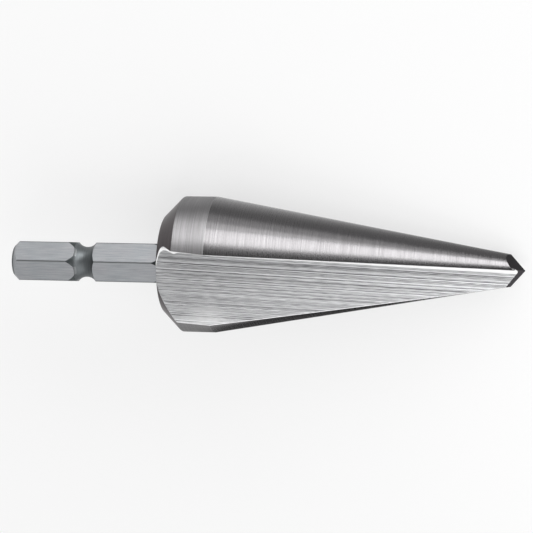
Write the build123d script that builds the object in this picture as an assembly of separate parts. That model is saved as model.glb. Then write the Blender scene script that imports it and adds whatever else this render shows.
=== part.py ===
from build123d import *
from math import atan2, cos, radians, sin, sqrt
import os

# A conical sheet-metal drill: a hex shank, a stepless cone with two straight
# flutes, and a ground point.  All of it is one piece of high-speed steel.
#
# It is built along +X.  A station is a distance in millimetres from the end of
# the shank.  Y and Z lie across the axis, and one flute opens towards +Z.
# The second half of the cutting end is the first turned half a turn about X.

# ---- Hex shank, for a quarter-inch quick-change chuck ----
across_flats = 6.35
shank_length = 25.6          # end of the shank to the back face of the body
end_face_diameter = 5.0      # what the 45 degree end chamfer leaves flat
groove_station = 12.18       # middle of the chuck's ball groove
groove_neck_diameter = 4.9
groove_radius = 2.05         # of the groove's bottom, seen from the side
groove_ramp_station = 9.3    # where the ball's ramp starts on the hex corners
groove_lip_station = 14.15   # where the groove's other lip ends on them
groove_corner_depth = 0.4    # that the ramp and the lip take off the corners
relief_length = 2.0          # corners turned down in front of the body
relief_diameter = 6.4

# ---- Cone ----
body_diameter = 22.0
back_chamfer = 3.05          # 45 degrees
land_length = 5.3            # full-diameter band behind the cone
cone_length = 47.5           # land to the corner of the nose
nose_diameter = 5.2
point_length = 2.4           # corner of the nose to the tip

# ---- Flutes ----
# The root runs straight.  Its height is along Z, and its lead is how far the
# rake face stands ahead of the axis, along Y.
root_height_at_land = 7.39
root_lead_at_land = 2.64
root_height_at_tip = 0.52
root_lead_at_tip = 0.52
root_radius = 0.9
floor_roll = 10.8            # degrees that the floor falls towards the heel
rake_angle = 19.7            # degrees that the rake face is undercut

# ---- Point ----
# Each ground face holds the tip.  Its falls are in millimetres of length for
# each millimetre away from the axis, along Y and along Z.
flank_fall_y = 0.85
flank_fall_z = 0.68
heel_fall_y = 0.95
heel_fall_z = 1.70

# ---- Worked out from the sizes above ----
flat_radius = across_flats / 2
corner_radius = across_flats / sqrt(3)
body_radius = body_diameter / 2
chamfer_end = shank_length + back_chamfer
land_end = chamfer_end + land_length
nose_station = land_end + cone_length
tip_station = nose_station + point_length
taper = (body_radius - nose_diameter / 2) / cone_length
turning_stock = 0.5          # turned shapes reach this far outside the hex
joint_depth = 1.0            # the shank's solid runs this far into the body
cutter_size = 3 * body_diameter


def turned(outline):
    """Solid of revolution about X from (station, radius) points and arcs."""
    return revolve(make_face(outline), axis=Axis.X)


def shank():
    """Hex bar inside the turned outline of its chamfer, groove and relief."""
    outer = corner_radius + turning_stock
    end_radius = end_face_diameter / 2
    neck_radius = groove_neck_diameter / 2
    arc_centre = neck_radius + groove_radius

    def half_chord(radius):
        return sqrt(groove_radius**2 - (arc_centre - radius) ** 2)

    foot_radius = corner_radius - groove_corner_depth
    groove_start = groove_station - half_chord(foot_radius)
    groove_stop = groove_station + half_chord(foot_radius)
    ramp_run = (groove_start - groove_ramp_station) / groove_corner_depth
    lip_run = (groove_lip_station - groove_stop) / groove_corner_depth
    ramp_top = groove_ramp_station - turning_stock * ramp_run
    lip_top = groove_lip_station + turning_stock * lip_run
    relief_radius = relief_diameter / 2
    relief_run = relief_length / (corner_radius - relief_radius)
    relief_top = shank_length - (outer - relief_radius) * relief_run
    bar_end = shank_length + joint_depth

    before_groove = Polyline(
        (bar_end, 0),
        (0, 0),
        (0, end_radius),
        (outer - end_radius, outer),
        (ramp_top, outer),
        (groove_start, foot_radius),
    )
    groove = ThreePointArc(
        (groove_start, foot_radius), (groove_station, neck_radius), (groove_stop, foot_radius)
    )
    after_groove = Polyline(
        (groove_stop, foot_radius),
        (lip_top, outer),
        (relief_top, outer),
        (shank_length, relief_radius),
        (bar_end, relief_radius),
        (bar_end, 0),
    )
    # One corner of the hexagon points along +Z.
    hexagon = Plane.YZ * RegularPolygon(corner_radius, 6, rotation=90)
    return extrude(hexagon, bar_end) & turned([before_groove, groove, after_groove])


def body():
    """Back chamfer, full-diameter land and cone, turned on as far as the tip."""
    return turned(
        Polyline(
            (shank_length, 0),
            (shank_length, body_radius - back_chamfer),
            (chamfer_end, body_radius),
            (land_end, body_radius),
            (tip_station, nose_diameter / 2 - taper * point_length),
            (tip_station, 0),
            close=True,
        )
    )


# Directions across the axis, as (Y, Z): from the root along the floor to the
# heel, and from the root up the rake face to the cutting edge.
to_heel = Vector(-cos(radians(floor_roll)), -sin(radians(floor_roll)))
to_edge = Vector(-sin(radians(rake_angle)), cos(radians(rake_angle)))
root_fall = (root_height_at_land - root_height_at_tip) / (tip_station - land_end)
root_drift = (root_lead_at_land - root_lead_at_tip) / (tip_station - land_end)


def root_at(station):
    """Root of the flute at a station, as (Y, Z), before its corner is rounded."""
    ahead = station - land_end
    return Vector(
        root_lead_at_land - root_drift * ahead, root_height_at_land - root_fall * ahead
    )


def along_root(corners, rounding=0.0):
    """Prism parallel to the root line; corners are measured from the root."""
    start = shank_length - joint_depth
    length = tip_station + joint_depth - start
    root = root_at(start)
    plane = Plane(origin=(start, root.X, root.Y), x_dir=(0, 1, 0), z_dir=(1, 0, 0))
    section = make_face(Polyline(*[(c.X, c.Y) for c in corners], close=True))
    if rounding:
        at_root = section.vertices().sort_by_distance((0, 0, 0))[0]
        section = fillet(at_root, rounding)
    run = Vector(1, -root_drift, -root_fall)
    return extrude(plane * section, length * run.length, dir=run.normalized())


def flute():
    """What the grinding wheel takes away: all above the floor and before the rake."""
    far = cutter_size
    corners = [Vector(0, 0), to_heel * far, (to_heel + to_edge) * far, to_edge * far]
    return along_root(corners, root_radius)


def beyond(fall_y, fall_z):
    """Everything past a ground face that holds the tip."""
    face = Plane(origin=(tip_station, 0, 0), z_dir=(1, fall_y, fall_z))
    block = Box(
        cutter_size, cutter_size, cutter_size, align=(Align.CENTER, Align.CENTER, Align.MIN)
    )
    return face * block


def heel_relief():
    """Second grind, on the heel across the flute, stopping at the rake face."""
    aside = Vector(-cutter_size, 0)
    up = to_edge * cutter_size
    before_rake = along_root([up, up + aside, aside - up, -up])
    return beyond(-heel_fall_y, heel_fall_z) & before_rake


def cutting_end():
    """Cone with both flutes and both halves of the point ground into it."""
    shape = body()
    for cutter in (flute(), beyond(flank_fall_y, flank_fall_z), heel_relief()):
        shape -= cutter
        shape -= cutter.rotate(Axis.X, 180)
    return shape


def meets_circle(start, direction, radius):
    """Where a line across the axis leaves a circle about the axis."""
    along = start.dot(direction)
    return start + direction * (sqrt(along**2 - start.dot(start) + radius**2) - along)


def resting_plane(drill):
    """Table top under the drill as it lies on the cutting edge and heel of the
    lower flute: both touch at the front of the land, and the nose then drops
    until its first corner touches."""
    root = root_at(land_end)
    edge = -meets_circle(root, to_edge, body_radius)
    heel = -meets_circle(root, to_heel, body_radius)
    chord = (heel - edge).normalized()
    inward = Vector(0, -chord.Y, chord.X)
    height = -(inward.Y * edge.X + inward.Z * edge.Y)

    def tilt_to_touch(vertex):
        point = Vector(vertex)
        above = point.dot(inward) + height
        return atan2(above, point.X - land_end)

    in_front = [v for v in drill.vertices() if v.X > nose_station - point_length]
    tilt = min(tilt_to_touch(v) for v in in_front)
    forward = Vector(cos(tilt), sin(tilt) * inward.Y, sin(tilt) * inward.Z)
    up = Vector(-sin(tilt), cos(tilt) * inward.Y, cos(tilt) * inward.Z)
    return Plane(origin=(land_end, edge.X, edge.Y), x_dir=forward, z_dir=up)


drill = shank() + cutting_end()
lying = resting_plane(drill).to_local_coords(drill)
box = lying.bounding_box()
lying = Pos(-box.center().X, -box.center().Y, -box.min.Z) * lying

os.makedirs("parts", exist_ok=True)
export_step(lying, "parts/cone_drill.step")
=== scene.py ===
from math import atan2, cos, pi, radians, sin, sqrt, tan

import bmesh
import bpy
import numpy as np
from mathutils import Matrix, Vector


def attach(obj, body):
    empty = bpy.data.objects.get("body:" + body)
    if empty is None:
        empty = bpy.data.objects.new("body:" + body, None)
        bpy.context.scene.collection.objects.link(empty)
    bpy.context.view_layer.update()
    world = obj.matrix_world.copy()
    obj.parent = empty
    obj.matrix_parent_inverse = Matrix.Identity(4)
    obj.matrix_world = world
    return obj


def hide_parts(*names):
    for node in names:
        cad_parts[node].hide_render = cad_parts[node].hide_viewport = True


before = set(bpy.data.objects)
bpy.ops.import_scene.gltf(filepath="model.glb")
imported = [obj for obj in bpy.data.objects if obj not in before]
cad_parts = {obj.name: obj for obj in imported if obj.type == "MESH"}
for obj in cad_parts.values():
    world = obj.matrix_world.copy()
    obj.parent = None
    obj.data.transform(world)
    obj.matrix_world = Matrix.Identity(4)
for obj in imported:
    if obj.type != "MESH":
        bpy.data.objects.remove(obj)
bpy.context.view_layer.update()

MM = 0.001

# ---------------------------------------------------------------------------
# Sizes, in millimetres in the drill's own frame.
# Stations run along X from the shank's end.  Y and Z lie across the axis, and
# one flute opens towards +Z.
# ---------------------------------------------------------------------------
# Hex shank.
ACROSS_FLATS = 6.35
SHARP_CORNER = ACROSS_FLATS / sqrt(3)
CORNER_ROUND = 0.26
END_RADIUS = 2.5

# Ball groove: an arc round the shank.  The corners run into it down a ramp on the
# side of the shank's end, and down a short lip on the body's side.
GROOVE_STATION = 12.18
GROOVE_NECK = 2.45
GROOVE_ARC = 2.05
GROOVE_WALL = 0.35
RAMP_STATION = 9.3
LIP_STATION = 14.15
FOOT_RADIUS = SHARP_CORNER - 0.4

# Corners turned down in front of the body.
RELIEF_RADIUS = 3.2
RELIEF_LENGTH = 2.0

# Turned body: chamfer, land, cone, and the ground point's tip.
BACK_STATION = 25.6
BACK_RADIUS = 7.95
LAND_RADIUS = 11.0
CHAMFER_END = BACK_STATION + LAND_RADIUS - BACK_RADIUS
LAND_END = CHAMFER_END + 5.3
NOSE_STATION = LAND_END + 47.5
NOSE_RADIUS = 2.6
TIP_STATION = NOSE_STATION + 2.4
TAPER = (LAND_RADIUS - NOSE_RADIUS) / (NOSE_STATION - LAND_END)

# Flute: the wheel's sharp root as (y, z) at the land's end and at the tip, the
# round in that root, and how far the floor and the rake face lean.
ROOT_AT_LAND = np.array([2.64, 7.39])
ROOT_AT_TIP = np.array([0.52, 0.52])
ROOT_ROUND = 0.9
FLOOR_ROLL = radians(10.8)
RAKE = radians(19.7)

# Width, by station, of the painted highlight along the cutting edge: a strip of the flute made
# lighter in colour.
HIGHLIGHT_STRIP_WIDTH = (
    (BACK_STATION, 0.55), (28.4, 0.5), (29.2, 0.10), (34.0, 0.07),
    (50.0, 0.16), (65.0, 0.36), (82.0, 0.5), (85.0, 0.5),
)

# How far the point's faces fall back from the tip, for each mm of y and of z.
FLANK_FALL = (0.85, 0.68)
HEEL_FALL = (0.95, 1.70)

# How the drill lies on the table.
NOSE_DIP = radians(8.03818)
ROLL = radians(27.82645)
SHANK_END_AT = Vector((-41.3383, 0.0, 13.678))

# Broken edges.
EDGE_BREAK = 0.07  # along the flutes
RIM_BREAK = 0.06  # round the back of the body
SHOULDER_BREAK = 0.12  # each way from where the chamfer meets the land
SHOULDER_DROP = 0.35  # of that length, taken off the radius
END_BREAK = 0.36  # round the end of the shank
# The band round the land's end is lighter steel than land and cone: a painted highlight.
LAND_RING = 0.02  # half of the bright line between land and cone
SHARP_ABOVE = radians(9.5)  # faces that meet at more than this shade apart
WELD, SLIVER = 0.0005, 0.0003  # points and thin faces closer than this merge

# Length of turned grain for a radian: near each part's own radius.
SHANK_TURN, BACK_TURN, BODY_TURN = 3, 6, 7


def lying_on_the_table():
    """Matrix from the drill's own frame, in millimetres, to the table's, in metres."""
    dip, level = sin(NOSE_DIP), cos(NOSE_DIP)
    roll, upright = sin(ROLL), cos(ROLL)
    along = Vector((level, 0, -dip))
    side = Vector((-dip * roll, upright, -level * roll))
    up = Vector((dip * upright, roll, level * upright))
    turn = Matrix((along, side, up)).transposed().to_4x4()
    return Matrix.Scale(MM, 4) @ Matrix.Translation(SHANK_END_AT) @ turn


TO_TABLE = lying_on_the_table()


def on_table(direction):
    """A direction of the drill's own frame, as it points on the table."""
    return (TO_TABLE.to_3x3() @ Vector(direction)).normalized()


# ---------------------------------------------------------------------------
# The steel's shape
# ---------------------------------------------------------------------------
# Slots of the steels, in the order of MATERIALS.
SHANK, TURNED, CHAMFER, LAND, CONE, FLUTE, POINT, EDGE, CORNER, RAMP, RING = range(11)

# Directions of the flute's floor and of its rake face from the root, as (y, z).
TO_HEEL = np.array([-cos(FLOOR_ROLL), -sin(FLOOR_ROLL)])
TO_EDGE = np.array([-sin(RAKE), cos(RAKE)])


class Skin:
    """Collects rows of points as a bmesh.  Each face corner carries its place
    along the grain and the direction across it, and each point carries the depth
    that the wheel's marks have there."""

    def __init__(self):
        self.bm = bmesh.new()
        self.grain = self.bm.loops.layers.float_vector.new("grain")
        self.across = self.bm.loops.layers.float_vector.new("across")
        self.depth = self.bm.verts.layers.float.new("grind_depth")

    def row(self, points):
        return [self.bm.verts.new(p) for p in points]

    def face(self, verts, slot, grain, across):
        if len(set(verts)) < 3:
            return
        made = self.bm.faces.new(verts)
        made.material_index = slot
        made.smooth = True
        for loop, g, a in zip(made.loops, grain, across):
            loop[self.grain] = g
            loop[self.across] = a

    def band(self, low, high, slots, grain_low, grain_high, across):
        """Faces between two closed rows; slots and grain go by column."""
        for i in range(len(low)):
            j = (i + 1) % len(low)
            near, far = grain_low[i], grain_high[i]
            left, right = across[i]
            self.face(
                (low[i], low[j], high[j], high[i]),
                slots[i],
                (near[0], near[1], far[1], far[0]),
                (left, right, right, left),
            )


# ---- Hex shank ----
# Steps round one side: half a corner, the flat, and half a corner.  Six sides
# have as many columns as the body, so the two join without a seam.
CORNER_STEPS = 4
FLAT_STEPS = 49
SEXTANT = 2 * CORNER_STEPS + FLAT_STEPS


def hexagon():
    """Points of the rounded hexagon, as angles from +Z towards +Y and radii."""
    inner = ACROSS_FLATS / 2 - CORNER_ROUND
    centre = inner / cos(pi / 6)
    corner = []
    for k in range(CORNER_STEPS + 1):
        turn = pi / 6 * k / CORNER_STEPS
        corner.append((CORNER_ROUND * sin(turn), centre + CORNER_ROUND * cos(turn)))
    c, s = cos(pi / 3), sin(pi / 3)
    next_corner = [(s * z - c * y, c * z + s * y) for y, z in reversed(corner)]
    start, stop = np.array(corner[-1]), np.array(next_corner[0])
    flat = [tuple(start + (stop - start) * k / FLAT_STEPS) for k in range(1, FLAT_STEPS)]
    side = corner + flat + next_corner[:-1]
    angles = np.array([atan2(y, z) for y, z in side])
    radii = [sqrt(y * y + z * z) for y, z in side]
    return np.concatenate([angles + pi / 3 * k for k in range(6)]), np.tile(radii, 6)


def half_chord(radius):
    """Half the groove's length at a radius."""
    return np.sqrt(GROOVE_ARC**2 - (GROOVE_NECK + GROOVE_ARC - radius) ** 2)


def shank_rows(skin):
    """The shank, from its end face to the back of the body: its first and last
    rows of points, and the last row's angles and radii."""
    angle, full = hexagon()
    ramp_end = GROOVE_STATION - half_chord(FOOT_RADIUS)
    lip_start = GROOVE_STATION + half_chord(FOOT_RADIUS)
    ramp_run = (ramp_end - RAMP_STATION) / (SHARP_CORNER - FOOT_RADIUS)
    lip_run = (LIP_STATION - lip_start) / (SHARP_CORNER - FOOT_RADIUS)
    relief_run = RELIEF_LENGTH / (SHARP_CORNER - RELIEF_RADIUS)

    chamfer_top = full - END_RADIUS
    beyond_foot = full > FOOT_RADIUS
    on_ramp = RAMP_STATION + (SHARP_CORNER - full) * ramp_run
    on_lip = LIP_STATION - (SHARP_CORNER - full) * lip_run
    groove_in = np.where(beyond_foot, on_ramp, GROOVE_STATION - half_chord(full))
    groove_out = np.where(beyond_foot, on_lip, GROOVE_STATION + half_chord(full))
    arc_in = np.maximum(groove_in, ramp_end)
    arc_out = np.minimum(groove_out, lip_start)
    relief_in = BACK_STATION - np.maximum(full - RELIEF_RADIUS, 0) * relief_run
    back = np.full_like(full, BACK_STATION)

    def ramp_radius(station):
        return np.minimum(full, SHARP_CORNER - (station - RAMP_STATION) / ramp_run)

    def lip_radius(station):
        return np.minimum(full, SHARP_CORNER - (LIP_STATION - station) / lip_run)

    def arc_radius(station):
        inside = np.maximum(GROOVE_ARC**2 - (station - GROOVE_STATION) ** 2, 0)
        return GROOVE_NECK + GROOVE_ARC - np.sqrt(inside)

    rim = np.minimum(END_BREAK, 0.6 * chamfer_top)
    wall = np.minimum(arc_in + GROOVE_WALL, arc_out)
    count = len(angle)
    column = np.arange(count) % SEXTANT
    corner = (column < CORNER_STEPS) | (column >= SEXTANT - CORNER_STEPS)
    flats = np.where(corner, CORNER, SHANK)
    walls = np.where(beyond_foot, TURNED, CORNER)
    # From one station to the next, by column: in how many steps, of which steel,
    # and with which radius.  Steels given by column are drawn, the others turned.
    legs = [
        (0 * full, rim, 3, TURNED, lambda s: END_RADIUS + s),
        (rim, chamfer_top, 4, SHANK, lambda s: END_RADIUS + s),
        (chamfer_top, groove_in, 14, flats, lambda s: full),
        (groove_in, arc_in, 6, RAMP, ramp_radius),
        (arc_in, wall, 6, walls, arc_radius),
        (wall, arc_out, 26, TURNED, arc_radius),
        (arc_out, groove_out, 4, TURNED, lip_radius),
        (groove_out, relief_in, 18, flats, lambda s: full),
        (relief_in, back, 4, RAMP, lambda s: full - np.maximum(s - relief_in, 0) / relief_run),
    ]
    rows = []
    for start, stop, steps, slot, radius in legs:
        slots = [int(kind) for kind in np.broadcast_to(slot, count)]
        drawn = np.ndim(slot) > 0
        for k in range(1 if rows else 0, steps + 1):
            station = start + (stop - start) * k / steps
            r = radius(station)
            points = np.stack([station, r * np.sin(angle), r * np.cos(angle)], axis=1)
            rows.append((station, skin.row(points)))
            if len(rows) > 1:
                (low_station, low), (_, high) = rows[-2:]
                skin.band(low, high, slots, *shank_grain(drawn, low_station, station, angle))
    return rows[0][1], rows[-1][1], angle, r


def shank_grain(drawn, low, high, angle):
    """Grain along the bar where it is drawn, and round it where it is turned."""
    count = len(angle)
    around = np.arange(count + 1) * ACROSS_FLATS * pi / count
    turn = closed(angle) * SHANK_TURN

    def grain(station):
        pairs = []
        for i in range(count):
            here, there = station[i], station[(i + 1) % count]
            if drawn:
                pairs.append(((here, around[i], 0), (there, around[i + 1], 0)))
            else:
                pairs.append(((turn[i], here, 0), (turn[i + 1], there, 0)))
        return pairs

    if drawn:
        sideways = [on_table((0, cos(a), -sin(a))) for a in angle]
    else:
        sideways = [on_table((1, 0, 0))] * count
    across = [(sideways[i], sideways[(i + 1) % count]) for i in range(count)]
    return grain(low), grain(high), across


def closed(angle):
    """Angles of a closed row, with the first again one turn on."""
    return np.append(angle, angle[0] + 2 * pi)


def end_face(skin, ring, angle, rings=8):
    """Turned disc that closes the end of the shank."""
    count = len(ring)
    turn = closed(angle) * SHANK_TURN
    outwards = [on_table((0, sin(a), cos(a))) for a in angle]
    across = [(outwards[i], outwards[(i + 1) % count]) for i in range(count)]

    def grain(radius):
        return [((turn[i], radius, 0), (turn[i + 1], radius, 0)) for i in range(count)]

    outer, outer_r = ring, END_RADIUS
    for k in range(1, rings + 1):
        inner_r = END_RADIUS * (1 - k / (rings + 1))
        inner = skin.row([(0.0, inner_r * sin(a), inner_r * cos(a)) for a in angle])
        skin.band(inner, outer, [TURNED] * count, grain(inner_r), grain(outer_r), across)
        outer, outer_r = inner, inner_r
    skin.face(outer, TURNED, [(0, inner_r, 0)] * count, [on_table((0, 0, 1))] * count)


# ---- Cone with its two flutes ----
# Steps round half of the body: the cone, then the flute's floor, root and rake.
ARC_STEPS = 53
FLOOR_STEPS = 90
FILLET_STEPS = 14
RAKE_STEPS = 12
MARK_FADE = 3  # steps over which the wheel's marks fade in from a flute's edge
BENDING_LENGTH = 2.6  # before the nose, where the rows start to bend to the point


def body_radius(station):
    """Turned outline, with its corners broken."""
    station = np.asarray(station, float)
    chamfer = BACK_RADIUS + station - BACK_STATION
    cone = LAND_RADIUS - TAPER * (station - LAND_END)
    radius = np.minimum(np.minimum(chamfer, LAND_RADIUS), cone)
    near_shoulder = np.maximum(0, SHOULDER_BREAK - np.abs(station - CHAMFER_END))
    return radius - SHOULDER_DROP * near_shoulder


def root_at(station):
    """Where the flute's sharp root is, as (y, z)."""
    share = (np.asarray(station, float) - LAND_END) / (TIP_STATION - LAND_END)
    return ROOT_AT_LAND + (ROOT_AT_TIP - ROOT_AT_LAND) * share[..., None]


OPENING = np.arccos(np.dot(TO_HEEL, TO_EDGE))
TANGENT = ROOT_ROUND / tan(OPENING / 2)
FILLET_LENGTH = ROOT_ROUND * (pi - OPENING)
BETWEEN = TO_HEEL + TO_EDGE
FILLET_CENTRE = BETWEEN / np.linalg.norm(BETWEEN) * ROOT_ROUND / sin(OPENING / 2)


def wheel_outline(u):
    """The grinding wheel's outline at a length u along it, measured from the
    sharp root: the floor below 0, then the root's round, then the rake."""
    u = np.asarray(u, float)[..., None]
    floor = TO_HEEL * (TANGENT - u)
    rake = TO_EDGE * (TANGENT + u - FILLET_LENGTH)
    start = TO_HEEL * TANGENT - FILLET_CENTRE
    turn = -u / ROOT_ROUND
    swung_y = start[0] * np.cos(turn) + start[1] * np.sin(turn)
    swung_z = start[1] * np.cos(turn) - start[0] * np.sin(turn)
    swung = np.concatenate([swung_y, swung_z], axis=-1)
    return np.where(u < 0, floor, np.where(u > FILLET_LENGTH, rake, FILLET_CENTRE + swung))


def wheel_limits(station):
    """Lengths along the outline at which it leaves the body, at heel and edge:
    a coarse search for its deepest place, then halving on each side of it."""
    station = np.asarray(station, float)
    radius = body_radius(station)
    root = root_at(station)

    def outside(u):
        return np.linalg.norm(root + wheel_outline(u), axis=-1) - radius

    trial = np.linspace(-12, 4, 161)
    spans = [outside(np.full_like(station, t)) for t in trial]
    deepest = trial[np.argmin(spans, axis=0)]
    limits = []
    for beyond in (-30.0, 30.0):
        inner, outer = deepest.copy(), np.full_like(station, beyond)
        for _ in range(46):
            middle = (inner + outer) / 2
            is_out = outside(middle) > 0
            outer = np.where(is_out, middle, outer)
            inner = np.where(is_out, inner, middle)
        limits.append((inner + outer) / 2)
    return limits


def half_section(station):
    """Half of the cross-section at each station, from the cutting edge round the
    cone to the other flute's heel and through that flute.  Also its grain, column
    by column: along, across, and the distance from the edge in widths of the
    painted highlight strip."""
    station = np.asarray(station, float)
    radius = body_radius(station)
    root = root_at(station)
    heel_u, edge_u = wheel_limits(station)
    heel_u, edge_u = heel_u + EDGE_BREAK, edge_u - EDGE_BREAK

    def on_wheel(u):
        return root + wheel_outline(u)

    def angle_of(point):
        return np.arctan2(point[..., 0], point[..., 1])

    def on_round(turn):
        return radius[..., None] * np.stack([np.sin(turn), np.cos(turn)], axis=-1)

    edge_turn = angle_of(on_wheel(edge_u + EDGE_BREAK)) + EDGE_BREAK / radius
    heel_turn = angle_of(-on_wheel(heel_u - EDGE_BREAK)) % (2 * pi) - EDGE_BREAK / radius
    arc = [edge_turn + (heel_turn - edge_turn) * k / ARC_STEPS for k in range(ARC_STEPS + 1)]

    points = [on_round(turn) for turn in arc]
    grain = [(turn * BODY_TURN, station, 0 * station) for turn in arc]
    edge_y = on_wheel(edge_u)[..., 0]
    # Width of the painted highlight strip at each station.
    highlight_strip = np.interp(station, *zip(*HIGHLIGHT_STRIP_WIDTH))
    low = np.minimum(0, edge_u)
    mid = np.minimum(FILLET_LENGTH, edge_u)
    runs = [(heel_u, low, FLOOR_STEPS), (low, mid, FILLET_STEPS), (mid, edge_u, RAKE_STEPS)]
    for start, stop, steps in runs:
        for k in range(0 if start is heel_u else 1, steps + 1):
            u = start + (stop - start) * k / steps
            points.append(-on_wheel(u))
            grain.append((station, u, (edge_y - on_wheel(u)[..., 0]) / highlight_strip))
    return np.stack(points, axis=-2), grain


def point_station(points):
    """Station of the ground point at each place of the half section, and by how
    much the heel face is in front of the flank face there."""
    y, z = points[..., 0], points[..., 1]
    flank = np.abs(FLANK_FALL[0] * y + FLANK_FALL[1] * z)
    heel = HEEL_FALL[0] * y - HEEL_FALL[1] * z
    on_rake = np.arange(points.shape[-2]) > ARC_STEPS + 1 + FLOOR_STEPS + FILLET_STEPS
    return TIP_STATION - np.maximum(flank, np.where(on_rake, 0, heel)), heel - flank


def own_columns(stations):
    """The half section with every column at a station of its own."""
    own = np.arange(len(stations))
    return half_section(stations)[0][own, own]


def end_stations(columns):
    """Station at which each column of the half section meets the ground point,
    by halving a span that holds them all."""
    low = np.full(columns, NOSE_STATION - 3.0)
    high = np.full(columns, TIP_STATION + 0.5)
    for _ in range(26):
        middle = (low + high) / 2
        past = middle > point_station(own_columns(middle))[0]
        high = np.where(past, middle, high)
        low = np.where(past, low, middle)
    return (low + high) / 2


def body_stations():
    """Stations of the rows that run straight round the body."""
    chamfer = np.linspace(BACK_STATION + RIM_BREAK, CHAMFER_END - SHOULDER_BREAK, 20)
    land = np.linspace(CHAMFER_END + SHOULDER_BREAK, LAND_END - LAND_RING, 9)
    cone = np.linspace(LAND_END + LAND_RING, NOSE_STATION - BENDING_LENGTH, 64)
    return np.concatenate([[BACK_STATION], chamfer, [CHAMFER_END], land, cone])


def round_slot(station):
    """Steel of the turned body."""
    if abs(station - LAND_END) < LAND_RING:
        return RING
    return CHAMFER if station < CHAMFER_END else LAND if station < LAND_END else CONE


def whole(half):
    """Both halves of a row: the second is the first turned half a turn."""
    return np.concatenate([half, -half], axis=-2)


def body_rows(bending_rows=8):
    """Rows of the body, as the stations and the half section of each: straight
    ones from the back face on, then ones that bend to end on the point."""
    straight = body_stations()
    halves = half_section(straight)[0]
    columns = halves.shape[1]
    rows = [(np.full(columns, s), half) for s, half in zip(straight, halves)]
    rim = rows[0][1]
    rim *= 1 - RIM_BREAK / np.linalg.norm(rim, axis=-1, keepdims=True)

    last = straight[-1]
    ends = end_stations(columns)
    for k in range(1, bending_rows + 1):
        stations = last + (ends - last) * k / bending_rows
        rows.append((stations, own_columns(stations)))
    return rows


def body_grain(stations):
    """Grain of every column at its own station."""
    grain = half_section(stations)[1]
    return [tuple(float(part[i]) for part in place) for i, place in enumerate(grain)]


def steel_mesh():
    """The whole drill as one closed skin, in its own frame."""
    skin = Skin()
    first, neck, angle, neck_radius = shank_rows(skin)
    end_face(skin, first, angle)
    rows = body_rows()
    columns = len(rows[0][0])
    rings = [back_face(skin, neck, angle, neck_radius, whole(rows[0][1]))]
    for stations, half in rows[1:]:
        both = np.concatenate([stations, stations])
        rings.append(skin.row(np.concatenate([both[:, None], whole(half)], axis=1)))
    body_skin(skin, rows, rings, columns)
    grind_depths(skin, rings, columns)
    ground_point(skin, rings[-1], rows[-1], columns)
    return skin.bm


def back_face(skin, neck, angle, neck_radius, rim, rings=10):
    """Rings between the shank and the body's rim.  Returns the rim's points."""
    count = len(neck)
    rim_angle = np.unwrap(np.arctan2(rim[:, 0], rim[:, 1]))
    rim_radius = np.linalg.norm(rim, axis=1)

    def grain(angles, radii):
        turn = closed(angles) * BACK_TURN
        r = np.append(radii, radii[0])
        return [((turn[i], r[i], 0), (turn[i + 1], r[i + 1], 0)) for i in range(count)]

    low, low_angle, low_radius = neck, angle, neck_radius
    for k in range(1, rings + 1):
        share = k / rings
        high_angle = angle + (rim_angle - angle) * share
        high_radius = neck_radius + (rim_radius - neck_radius) * share
        y, z = high_radius * np.sin(high_angle), high_radius * np.cos(high_angle)
        high = skin.row(np.stack([np.full(count, BACK_STATION), y, z], axis=1))
        across = [(on_table((0, sin(a), cos(a))),) * 2 for a in high_angle]
        grain_low, grain_high = grain(low_angle, low_radius), grain(high_angle, high_radius)
        skin.band(low, high, [CHAMFER] * count, grain_low, grain_high, across)
        low, low_angle, low_radius = high, high_angle, high_radius
    return low


def body_skin(skin, rows, rings, columns):
    """Faces of the cone and of the flutes.  Between the two, a broken edge takes
    the flute's grain on both of its sides."""
    across_round = on_table((1, 0, 0))
    across_wheel = on_table((0, TO_HEEL[0], TO_HEEL[1]))
    grains = [body_grain(stations) for stations, _ in rows]
    floor_from, rake_to = ARC_STEPS + 1, columns - 1
    for k in range(len(rows) - 1):
        slots, low_grain, high_grain, across = [], [], [], []
        middle = (rows[k][0] + rows[k + 1][0]) / 2
        for i in range(2 * columns):
            c = i % columns
            if c < ARC_STEPS:
                slot = round_slot(middle[c])
            elif c == ARC_STEPS or c == rake_to:
                slot = EDGE
            else:
                slot = FLUTE
            left = c if c != ARC_STEPS else floor_from
            right = c + 1 if c != rake_to else c
            slots.append(slot)
            low_grain.append((grains[k][left], grains[k][right]))
            high_grain.append((grains[k + 1][left], grains[k + 1][right]))
            across.append((across_round if c < ARC_STEPS else across_wheel,) * 2)
        skin.band(rings[k], rings[k + 1], slots, low_grain, high_grain, across)


def grind_depths(skin, rings, columns):
    """Full depth of the wheel's marks inside the flutes, none on their edges."""
    first, last = ARC_STEPS + 1, columns - 1
    for ring in rings[1:-1]:
        for i, vert in enumerate(ring):
            c = i % columns
            vert[skin.depth] = min(1.0, max(0, min(c - first, last - c)) / MARK_FADE)


def ground_point(skin, ring, last_row, columns):
    """Flank and heel faces, which all meet in the tip."""
    lead = point_station(last_row[1])[1]
    arc_switch = int(np.argmin(np.abs(lead[: ARC_STEPS + 1])))
    wheel = slice(ARC_STEPS + 1, ARC_STEPS + 1 + FLOOR_STEPS + FILLET_STEPS)
    wheel_switch = wheel.start + int(np.argmin(np.abs(lead[wheel])))
    tip = skin.row([(TIP_STATION, 0, 0)])[0]
    across = on_table((0, 0.6, 0.8))
    for start in (0, columns):
        before = start - columns + wheel_switch
        flank = [ring[i % len(ring)] for i in range(before, start + arc_switch + 1)]
        heel = [ring[start + i] for i in range(arc_switch, wheel_switch + 1)]
        for verts in (flank, heel):
            places = [v.co for v in verts] + [tip.co]
            grain = [(p.y * 0.3 + p.x, p.z, 0) for p in places]
            skin.face(verts + [tip], POINT, grain, [across] * len(grain))


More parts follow.
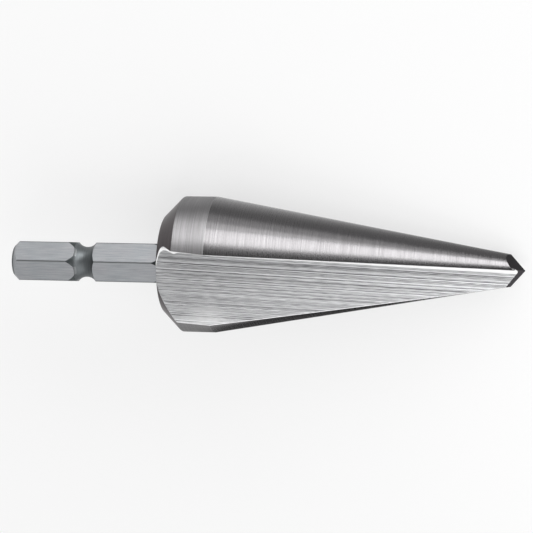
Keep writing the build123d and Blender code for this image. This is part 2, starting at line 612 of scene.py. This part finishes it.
def steel_object(materials):
    """The drill as an object on the table, with its finishes."""
    bm = steel_mesh()
    bmesh.ops.remove_doubles(bm, verts=bm.verts, dist=WELD)
    bmesh.ops.dissolve_degenerate(bm, edges=bm.edges, dist=SLIVER)
    bmesh.ops.recalc_face_normals(bm, faces=bm.faces)
    for edge in bm.edges:
        if len(edge.link_faces) == 2 and edge.calc_face_angle(0) > SHARP_ABOVE:
            edge.smooth = False
    mesh = bpy.data.meshes.new("ground_drill")
    bm.to_mesh(mesh)
    bm.free()
    mesh.transform(TO_TABLE)
    for material in materials:
        mesh.materials.append(material)
    piece = bpy.data.objects.new("ground_drill", mesh)
    bpy.context.scene.collection.objects.link(piece)
    return piece


# ---- Marks of the grinding wheel ----
def grinding_marks_tree():
    """Long shallow furrows along the grain, where the marks have depth."""
    tree, given, out = group_tree(
        "Flute grinding marks",
        "GeometryNodeTree",
        [
            ("Geometry", "NodeSocketGeometry", None),
            ("Mark Depth", "NodeSocketFloat", 0.01),
            ("Mark Width", "NodeSocketFloat", 0.5),
            ("Mark Length", "NodeSocketFloat", 60.0),
            ("Seed", "NodeSocketInt", 0),
            ("Steel", "NodeSocketMaterial", None),
        ],
        [("Geometry", "NodeSocketGeometry")],
    )

    def named(attribute, data_type):
        kind = "GeometryNodeInputNamedAttribute"
        return add(tree, kind, {"Name": attribute}, data_type=data_type).outputs["Attribute"]

    parts = add(tree, "ShaderNodeSeparateXYZ", {0: named("grain", "FLOAT_VECTOR")})
    place = add(
        tree,
        "ShaderNodeCombineXYZ",
        {
            "X": math_node(tree, "DIVIDE", parts.outputs["X"], given.outputs["Mark Length"]),
            "Y": math_node(tree, "DIVIDE", parts.outputs["Y"], given.outputs["Mark Width"]),
            "Z": given.outputs["Seed"],
        },
    )
    noise = add(
        tree, "ShaderNodeTexNoise", {"Vector": place.outputs[0], "Scale": 1.0, "Detail": 1.0}
    )
    furrow = math_node(tree, "SUBTRACT", noise.outputs["Fac"], 0.5)
    depth = math_node(tree, "MULTIPLY", given.outputs["Mark Depth"], 2 * MM)
    depth = math_node(tree, "MULTIPLY", depth, named("grind_depth", "FLOAT"))
    normal = add(tree, "GeometryNodeInputNormal")
    push = add(
        tree,
        "ShaderNodeVectorMath",
        {0: normal.outputs["Normal"], "Scale": math_node(tree, "MULTIPLY", furrow, depth)},
        operation="SCALE",
    )
    marked = add(
        tree,
        "GeometryNodeSetPosition",
        {"Geometry": given.outputs["Geometry"], "Offset": push.outputs[0]},
    )
    # Compare calls the inputs of every kind A and B, so these go by place.
    in_flute = add(
        tree,
        "FunctionNodeCompare",
        {2: add(tree, "GeometryNodeInputMaterialIndex").outputs[0], 3: FLUTE},
        data_type="INT",
        operation="EQUAL",
    )
    real = add(tree, "GeometryNodeRealizeInstances", {"Geometry": marked.outputs["Geometry"]})
    clad = add(
        tree,
        "GeometryNodeSetMaterial",
        {
            "Geometry": real.outputs["Geometry"],
            "Selection": in_flute.outputs["Result"],
            "Material": given.outputs["Steel"],
        },
    )
    tree.links.new(clad.outputs["Geometry"], out.inputs["Geometry"])
    return tree


def grind_flutes(piece, materials):
    """Work the wheel's marks into the flutes, and leave a plain mesh."""
    marks = piece.modifiers.new("flute_grinding_marks", "NODES")
    marks.node_group = grinding_marks_tree()
    values = {
        "Mark Depth": 0.03,
        "Mark Width": 0.5,
        "Mark Length": 70.0,
        "Seed": 4,
        "Steel": materials[FLUTE],
    }
    for socket in marks.node_group.interface.items_tree:
        if socket.in_out == "INPUT" and socket.name in values:
            marks[socket.identifier] = values[socket.name]
    graph = bpy.context.evaluated_depsgraph_get()
    mesh = bpy.data.meshes.new_from_object(
        piece.evaluated_get(graph), preserve_all_data_layers=True, depsgraph=graph
    )
    piece.modifiers.remove(marks)
    plain = piece.data
    piece.data = mesh
    bpy.data.meshes.remove(plain)
    mesh.name = "ground_drill"


# ---------------------------------------------------------------------------
# Node helpers
# ---------------------------------------------------------------------------
def add(tree, kind, inputs=None, **settings):
    """A node of a kind, with its settings and its inputs' values or links."""
    node = tree.nodes.new(kind)
    for name, value in settings.items():
        setattr(node, name, value)
    for name, value in (inputs or {}).items():
        if isinstance(value, bpy.types.NodeSocket):
            tree.links.new(value, node.inputs[name])
        else:
            node.inputs[name].default_value = value
    return node


def group_tree(name, kind, inputs, outputs):
    """An empty node group with its named sockets, and its two end nodes."""
    tree = bpy.data.node_groups.new(name, kind)
    for socket, socket_type, value in inputs:
        made = tree.interface.new_socket(socket, in_out="INPUT", socket_type=socket_type)
        if value is not None:
            made.default_value = value
    for socket, socket_type in outputs:
        tree.interface.new_socket(socket, in_out="OUTPUT", socket_type=socket_type)
    return tree, tree.nodes.new("NodeGroupInput"), tree.nodes.new("NodeGroupOutput")


def math_node(tree, operation, a, b=0.0, clamp=False):
    """Output of a Math node."""
    node = add(tree, "ShaderNodeMath", {0: a, 1: b}, operation=operation, use_clamp=clamp)
    return node.outputs[0]


def rise(tree, value, start, stop, amount=1.0, low=0.0, shape="SMOOTHSTEP"):
    """From low to an amount, as a value goes from start to stop."""
    inputs = {"Value": value, "From Min": start, "From Max": stop, "To Min": low, "To Max": amount}
    return add(tree, "ShaderNodeMapRange", inputs, interpolation_type=shape).outputs["Result"]


def mix_colours(tree, share, a, b, blend="MIX"):
    """A share of the way from colour a to colour b, or to a times b."""
    inputs = {"Factor": share, "A": a, "B": b}
    return add(tree, "ShaderNodeMix", inputs, data_type="RGBA", blend_type=blend).outputs["Result"]


def plain_material(name, colour, roughness):
    """A material of one colour, with its shader."""
    material = bpy.data.materials.new(name)
    material.use_nodes = True
    shader = material.node_tree.nodes["Principled BSDF"]
    shader.inputs["Base Color"].default_value = (*colour, 1)
    shader.inputs["Roughness"].default_value = roughness
    return material, shader


def blend_shaders(tree, share, first, second):
    """Put a mixture of two shaders on the surface."""
    blend = add(tree, "ShaderNodeMixShader", {0: share, 1: first.outputs[0], 2: second.outputs[0]})
    tree.links.new(blend.outputs[0], tree.nodes["Material Output"].inputs["Surface"])


# ---------------------------------------------------------------------------
# Finishes
# ---------------------------------------------------------------------------
# Strands of the grinding lines: width and length as shares of the material's
# own, detail, and a shift of the seed.
BROAD_STRANDS = (1.0, 1.0, 3.0, 0.0)
FINE_STRANDS = (0.36, 0.01, 1.0, 7.0)
DEEP_STRANDS = (0.9, 1.5, 0.0, 19.0)
DEEP_FROM, DEEP_FULL = 0.62, 0.72

# Distances from the cutting edge, in widths of the painted highlight strip: where
# it has gone and where it is full.  Near the back the strip is so narrow that the
# floor by the heel is many widths away, and there a fainter painted highlight comes in.
HIGHLIGHT_GONE, HIGHLIGHT_FULL = 1.15, 0.75
HEEL_HIGHLIGHT_FROM, HEEL_HIGHLIGHT_FULL, HEEL_HIGHLIGHT_AMOUNT = 90.0, 150.0, 0.4

# Painted light and shade on the flute, by station and by length along the
# wheel's outline: darker towards the back away from the heel, lighter towards
# the tip, and a painted highlight in a patch at the back towards the heel.  Each
# goes from nothing at its first place to its amount at the second.
PAINTED_SHADE_ALONG, PAINTED_SHADE_ACROSS, PAINTED_SHADE = (52.0, 28.0), (-12.0, -7.0), 0.16
PAINTED_LIGHT_ALONG, PAINTED_LIGHT = (48.0, 84.0), 0.25
PAINTED_PATCH_ALONG, PAINTED_PATCH_ACROSS, PAINTED_PATCH = (50.0, 34.0), (-10.0, -14.0), 0.26

ROUGHNESS_SWING = 0.05  # rougher than its own in the dark lines, smoother in the light


def grinding_lines_group():
    """Fine lines that run along the grain, from 0 in the dark ones to 1, and a
    flute's painted highlight strips and its painted light and shade."""
    tree, given, out = group_tree(
        "Grinding lines",
        "ShaderNodeTree",
        [
            ("Line Width", "NodeSocketFloat", 0.1),
            ("Line Length", "NodeSocketFloat", 8.0),
            ("Contrast", "NodeSocketFloat", 1.0),
            ("Speckle", "NodeSocketFloat", 0.0),
            ("Scratches", "NodeSocketFloat", 0.0),
            ("Seed", "NodeSocketFloat", 0.0),
        ],
        [("Lines", "NodeSocketFloat"), ("Strip", "NodeSocketFloat"), ("Shade", "NodeSocketFloat")],
    )
    grain = add(tree, "ShaderNodeAttribute", attribute_name="grain").outputs["Vector"]
    parts = add(tree, "ShaderNodeSeparateXYZ", {0: grain})
    along, across, from_edge = (parts.outputs[axis] for axis in "XYZ")

    def calculate(operation, a, b, clamp=False):
        return math_node(tree, operation, a, b, clamp)

    def strands(width, length, detail, shift):
        """Noise drawn out along the grain."""
        wide = calculate("MULTIPLY", given.outputs["Line Width"], width)
        long = calculate("MULTIPLY", given.outputs["Line Length"], length)
        place = add(
            tree,
            "ShaderNodeCombineXYZ",
            {
                "X": calculate("DIVIDE", along, long),
                "Y": calculate("DIVIDE", across, wide),
                "Z": calculate("ADD", given.outputs["Seed"], shift),
            },
        )
        noise = add(
            tree,
            "ShaderNodeTexNoise",
            {"Vector": place.outputs[0], "Scale": 1.0, "Detail": detail, "Roughness": 0.6},
        )
        return noise.outputs["Fac"]

    broad = calculate("SUBTRACT", strands(*BROAD_STRANDS), 0.5)
    fine = calculate("SUBTRACT", strands(*FINE_STRANDS), 0.5)
    deep = rise(tree, strands(*DEEP_STRANDS), DEEP_FROM, DEEP_FULL)
    lines = calculate("MULTIPLY", broad, given.outputs["Contrast"])
    lines = calculate("ADD", lines, calculate("MULTIPLY", fine, given.outputs["Speckle"]))
    lines = calculate("SUBTRACT", lines, calculate("MULTIPLY", deep, given.outputs["Scratches"]))
    lines = calculate("ADD", lines, 0.5, clamp=True)

    # Painted highlight: lighter colour in a strip along the cutting edge, and fainter on the floor
    # by the heel near the back.
    highlight_strip = rise(tree, from_edge, HIGHLIGHT_GONE, HIGHLIGHT_FULL)
    heel = rise(tree, from_edge, HEEL_HIGHLIGHT_FROM, HEEL_HIGHLIGHT_FULL, HEEL_HIGHLIGHT_AMOUNT)
    highlight_strips = calculate("MAXIMUM", highlight_strip, heel)

    # Painted shade towards the back, painted light towards the tip, and a painted highlight patch
    # towards the heel at the back.
    painted_dark = rise(tree, along, *PAINTED_SHADE_ALONG, PAINTED_SHADE)
    painted_dark = calculate("MULTIPLY", painted_dark, rise(tree, across, *PAINTED_SHADE_ACROSS))
    patch = rise(tree, along, *PAINTED_PATCH_ALONG, PAINTED_PATCH)
    patch = calculate("MULTIPLY", patch, rise(tree, across, *PAINTED_PATCH_ACROSS))
    shade = calculate("SUBTRACT", 1.0, painted_dark)
    shade = calculate("ADD", shade, rise(tree, along, *PAINTED_LIGHT_ALONG, PAINTED_LIGHT))
    shade = calculate("ADD", shade, patch)
    for name, value in (("Lines", lines), ("Strip", highlight_strips), ("Shade", shade)):
        tree.links.new(value, out.inputs[name])
    return tree


def mottle_group():
    """Cloudy patches of a finish, from 0 to 1."""
    tree, given, out = group_tree(
        "Mottle",
        "ShaderNodeTree",
        [("Patch Size", "NodeSocketFloat", 3.0), ("Seed", "NodeSocketFloat", 0.0)],
        [("Patches", "NodeSocketFloat")],
    )
    place = add(tree, "ShaderNodeTexCoord").outputs["Object"]
    size = math_node(tree, "MULTIPLY", given.outputs["Patch Size"], MM)
    scale = math_node(tree, "DIVIDE", 1.0, size)
    noise = add(
        tree,
        "ShaderNodeTexNoise",
        {"Vector": place, "W": given.outputs["Seed"], "Scale": scale, "Detail": 2.0},
        noise_dimensions="4D",
    )
    tree.links.new(noise.outputs["Fac"], out.inputs["Patches"])
    return tree


def steel(
    name, dark, light, roughness, anisotropy, lines,
    bump=0.0, patch=0.0, tint=None, edge=1.0, highlight_strip=None,
):
    """Bare steel whose colour goes from dark to light with its grinding lines.

    bump is the lines' height in mm, tint the colour of patches of a size in mm,
    and edge how much it reflects at grazing angles.  Given the colour of a flute's
    painted highlight strips, it also brings in the flute's painted light and shade."""
    material, shader = plain_material(name, light, roughness)
    tree = material.node_tree
    shader.inputs["Metallic"].default_value = 1.0
    shader.inputs["Anisotropic"].default_value = anisotropy
    shader.inputs["Specular Tint"].default_value = (edge, edge, edge, 1)
    marks = tree.nodes.new("ShaderNodeGroup")
    marks.node_tree = GRINDING_LINES
    for socket, value in lines.items():
        marks.inputs[socket].default_value = value
    amount = marks.outputs["Lines"]
    colour = mix_colours(tree, amount, (*dark, 1), (*light, 1))
    if tint:
        patches = tree.nodes.new("ShaderNodeGroup")
        patches.node_tree = MOTTLE
        patches.inputs["Patch Size"].default_value = patch
        share = rise(tree, patches.outputs["Patches"], 0.35, 0.65, shape="LINEAR")
        colour = mix_colours(tree, share, colour, (*tint, 1), "MULTIPLY")
    # The flute's painted light and shade, then its painted highlight strips.
    if highlight_strip:
        colour = mix_colours(tree, 1.0, colour, marks.outputs["Shade"], "MULTIPLY")
        colour = mix_colours(tree, marks.outputs["Strip"], colour, (*highlight_strip, 1))
    tree.links.new(colour, shader.inputs["Base Color"])
    rough = rise(
        tree, amount, 0.0, 1.0,
        roughness - ROUGHNESS_SWING, roughness + ROUGHNESS_SWING, "LINEAR",
    )
    tree.links.new(rough, shader.inputs["Roughness"])
    direction = add(tree, "ShaderNodeAttribute", attribute_name="across")
    tree.links.new(direction.outputs["Vector"], shader.inputs["Tangent"])
    if bump:
        height = {"Height": amount, "Strength": 1.0, "Distance": bump * MM}
        relief = add(tree, "ShaderNodeBump", height)
        tree.links.new(relief.outputs["Normal"], shader.inputs["Normal"])
    return material


GRINDING_LINES = grinding_lines_group()
MOTTLE = mottle_group()

# In the order of the slots: dark and light colour, roughness, how far the
# highlight is drawn out across the grain, and the lines' sizes in mm.
MATERIALS = [
    steel("satin_shank_steel", (0.272, 0.276, 0.289), (0.412, 0.417, 0.434), 0.42, 0.3,
          {"Line Width": 0.16, "Line Length": 4.0, "Contrast": 1.6, "Speckle": 1.4},
          patch=3, tint=(0.94, 0.97, 0.97)),
    steel("dark_turned_steel", (0.10, 0.11, 0.115), (0.16, 0.17, 0.175), 0.5, 0.3,
          {"Line Width": 0.1, "Line Length": 5.0, "Contrast": 1.5}),
    steel("dark_chamfer_steel", (0.048, 0.041, 0.043), (0.095, 0.083, 0.086), 0.38, 0.6,
          {"Line Width": 0.12, "Line Length": 6.0, "Contrast": 1.2}),
    steel("ground_land_steel", (0.20, 0.195, 0.20), (0.34, 0.335, 0.34), 0.44, 0.75,
          {"Line Width": 0.12, "Line Length": 7.0, "Contrast": 2.2, "Speckle": 1.6}, edge=0.7),
    steel("ground_cone_steel", (0.105, 0.101, 0.104), (0.212, 0.207, 0.211), 0.26, 0.9,
          {"Line Width": 0.10, "Line Length": 7.0, "Contrast": 1.5, "Speckle": 1.1}, edge=0.95),
    # The flute's last colour is that of its painted highlight strips.
    steel("ground_flute_steel", (0.13, 0.13, 0.135), (0.74, 0.745, 0.755), 0.42, 0.6,
          {"Line Width": 0.14, "Line Length": 220.0, "Contrast": 3.1, "Speckle": 1.5,
           "Scratches": 0.9}, bump=0.015, highlight_strip=(0.86, 0.86, 0.86)),
    steel("ground_point_steel", (0.033, 0.031, 0.033), (0.057, 0.053, 0.057), 0.35, 0.5,
          {"Line Width": 0.1, "Line Length": 4.0, "Contrast": 1.2}),
    steel("broken_edge_steel", (0.55, 0.55, 0.56), (0.75, 0.75, 0.76), 0.35, 0.0,
          {"Line Width": 0.5, "Line Length": 3.0, "Contrast": 1.0}),
    steel("drawn_corner_steel", (0.17, 0.18, 0.185), (0.25, 0.26, 0.265), 0.45, 0.3,
          {"Line Width": 0.1, "Line Length": 4.0, "Contrast": 1.4}),
    steel("dark_ramp_steel", (0.055, 0.062, 0.064), (0.10, 0.11, 0.113), 0.42, 0.4,
          {"Line Width": 0.1, "Line Length": 3.0, "Contrast": 1.4}),
    # Lighter than land and cone: a painted highlight on the band where they meet.
    steel("land_ring_highlight_steel", (0.3, 0.3, 0.305), (0.4, 0.4, 0.405), 0.42, 0.6,
          {"Line Width": 0.12, "Line Length": 7.0, "Contrast": 1.4}, edge=0.7),
]

drill = steel_object(MATERIALS)
grind_flutes(drill, MATERIALS)
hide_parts("cone_drill")
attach(drill, "root")


# ---------------------------------------------------------------------------
# Studio
# ---------------------------------------------------------------------------
FLOOR_FLAT, FLOOR_RISE = 1.1, 0.35  # metres: flat to here, then a wall this high
FLOOR_COLOUR = (0.8, 0.8, 0.8)
FLOOR_WHITENESS = 0.6  # share of plain white that the camera and the steel see
PANEL_LIFT, CARD_LIFT = 0.0006, 0.0004
BLACK = (0.02, 0.02, 0.02)


def in_scene(made):
    """Put an object in the scene, and give it back."""
    bpy.context.scene.collection.objects.link(made)
    return made


def studio_floor(rise_steps=24, around=96):
    """Pale floor that curves up into a low wall all round."""
    bm = bmesh.new()
    centre = bm.verts.new((0, 0, 0))
    rings = []
    for step in range(rise_steps + 1):
        turn = pi / 2 * step / rise_steps
        radius, height = FLOOR_FLAT + FLOOR_RISE * sin(turn), FLOOR_RISE * (1 - cos(turn))
        places = [2 * pi * k / around for k in range(around)]
        rings.append([bm.verts.new((radius * cos(a), radius * sin(a), height)) for a in places])
    for k in range(around):
        j = (k + 1) % around
        bm.faces.new((centre, rings[0][k], rings[0][j]))
        for low, high in zip(rings, rings[1:]):
            bm.faces.new((low[k], high[k], high[j], low[j]))
    for face in bm.faces:
        face.smooth = True
    mesh = bpy.data.meshes.new("studio_floor")
    bm.to_mesh(mesh)
    bm.free()
    floor = in_scene(bpy.data.objects.new("studio_floor", mesh))
    material, shader = plain_material("pale_floor", FLOOR_COLOUR, 0.16)
    tree = material.node_tree
    path = add(tree, "ShaderNodeLightPath").outputs
    seen = math_node(tree, "MAXIMUM", path["Is Camera Ray"], path["Is Glossy Ray"])
    seen = math_node(tree, "MAXIMUM", seen, path["Is Transmission Ray"])
    white = add(tree, "ShaderNodeEmission", {"Color": (1, 1, 1, 1), "Strength": 1.0})
    blend_shaders(tree, math_node(tree, "MULTIPLY", seen, FLOOR_WHITENESS), shader, white)
    mesh.materials.append(material)


def lamp(name, width, depth, radiance):
    """A soft rectangular lamp that the camera doesn't see."""
    light = bpy.data.lights.new(name, "AREA")
    light.shape = "RECTANGLE"
    light.size, light.size_y = width, depth
    light.energy = radiance * pi * width * depth
    holder = in_scene(bpy.data.objects.new(name, light))
    holder.visible_camera = False
    return holder


def softbox(name, direction, distance, width, height, radiance):
    """A soft lamp that faces the drill."""
    holder = lamp(name, width, height, radiance)
    holder.location = direction * distance
    holder.rotation_mode = "QUATERNION"
    holder.rotation_quaternion = direction.to_track_quat("Z", "Y")


def low_glow(name, middle, width, depth, radiance):
    """A soft panel that lies flat on the floor and shines upwards."""
    holder = lamp(name, width, depth, radiance)
    holder.location = (*middle, PANEL_LIFT)
    holder.rotation_euler = (pi, 0, 0)


def black_card(name, width, height, place):
    """A black card that only the steel mirrors, with its material and shader."""
    mesh = bpy.data.meshes.new(name)
    x, y = width / 2, height / 2
    mesh.from_pydata([(-x, -y, 0), (x, -y, 0), (x, y, 0), (-x, y, 0)], [], [(0, 1, 2, 3)])
    card = in_scene(bpy.data.objects.new(name, mesh))
    card.matrix_world = place
    card.visible_camera = False
    card.visible_diffuse = False
    card.visible_shadow = False
    material, shader = plain_material(name, BLACK, 1.0)
    mesh.materials.append(material)
    return material.node_tree, shader


def hung_card(name, direction, distance, width, height):
    """A black card beside the camera, which faces the drill."""
    turn = direction.to_track_quat("Z", "Y").to_matrix().to_4x4()
    black_card(name, width, height, Matrix.Translation(direction * distance) @ turn)


def floor_shade_card(name, middle, turn, length, width, fade, strength):
    """A dark card flat on the floor, with soft edges and clear from behind.  It
    stands in for shade on the floor by the drill, and only reflections show it.
    """
    spin = Matrix.Rotation(radians(turn), 4, "Z")
    place = Matrix.Translation((*middle, CARD_LIFT)) @ spin
    tree, shader = black_card(name, length, width, place)
    spot = add(tree, "ShaderNodeTexCoord").outputs["Object"]
    spot = add(tree, "ShaderNodeSeparateXYZ", {0: spot}).outputs
    side = add(tree, "ShaderNodeNewGeometry")
    cover = math_node(tree, "SUBTRACT", strength, side.outputs["Backfacing"])
    for axis, size in (("X", length), ("Y", width)):
        for edge, inner in ((-size / 2, fade - size / 2), (size / 2, size / 2 - fade)):
            cover = math_node(tree, "MULTIPLY", cover, rise(tree, spot[axis], edge, inner))
    cover = math_node(tree, "ADD", cover, 0.0, clamp=True)
    blend_shaders(tree, cover, add(tree, "ShaderNodeBsdfTransparent"), shader)


def studio_world(level):
    """Even white light from all round."""
    world = bpy.data.worlds.new("studio")
    bpy.context.scene.world = world
    world.use_nodes = True
    background = world.node_tree.nodes["Background"]
    background.inputs["Color"].default_value = (1, 1, 1, 1)
    background.inputs["Strength"].default_value = level


def polar(azimuth, elevation):
    """Direction from the drill, from angles in degrees."""
    a, e = radians(azimuth), radians(elevation)
    return Vector((cos(e) * cos(a), cos(e) * sin(a), sin(e))).normalized()


# Places and sizes in metres on the table, turns in degrees.
studio_floor()
studio_world(0.56)
softbox(
    "overhead_softbox", polar(-34, 50), distance=0.8, width=1.3, height=1.0, radiance=1.24
)
softbox("side_softbox", polar(58, 15), distance=0.5, width=0.74, height=0.26, radiance=5.2)
hung_card("camera_side_card", polar(70, 45), distance=0.8, width=2.2, height=0.46)
low_glow("floor_panel", (0.0, 0.25), width=0.3, depth=0.38, radiance=1.0)
# Dark cards on the floor by the drill stand in for shade there, seen only in reflections.
floor_shade_card(
    "flank_shade_card", (0.015, 0.0147), turn=-17, length=0.16, width=0.0215, fade=0.009, strength=0.5
)
floor_shade_card(
    "heel_shade_card", (0.031, -0.0445), turn=0, length=0.098, width=0.071, fade=0.006, strength=0.9
)

# ---------------------------------------------------------------------------
# Camera, in millimetres in the drill's own frame
# ---------------------------------------------------------------------------
SWING = radians(11.384)
TILT = radians(1.191)
DISTANCE = 408.7
AIM_STATION = 45.0
AIM_RIGHT, AIM_UP = 2.884, 0.092
SENSOR_WIDTH = 36.0
IMAGE_WIDTH = 533
FOCAL_LENGTH = 2535.3  # in pixels of that image


def camera():
    """Looks into the upper flute, from a little towards the point."""
    forward = Vector((-sin(SWING), 0, -cos(SWING)))
    level = Vector((cos(SWING), 0, -sin(SWING)))
    side = Vector((0, 1, 0))
    right = level * cos(TILT) + side * sin(TILT)
    up = side * cos(TILT) - level * sin(TILT)
    place = Vector((AIM_STATION, 0, 0)) - right * AIM_RIGHT - up * AIM_UP - forward * DISTANCE
    turn = Matrix([on_table(right), on_table(up), -on_table(forward)]).transposed()
    lens = bpy.data.cameras.new("studio_camera")
    lens.sensor_width = SENSOR_WIDTH
    lens.lens = SENSOR_WIDTH * FOCAL_LENGTH / IMAGE_WIDTH
    lens.clip_start = 0.01
    holder = in_scene(bpy.data.objects.new("studio_camera", lens))
    holder.matrix_world = Matrix.Translation(TO_TABLE @ place) @ turn.to_4x4()
    bpy.context.scene.camera = holder


camera()
bpy.context.scene.view_settings.view_transform = "Standard"
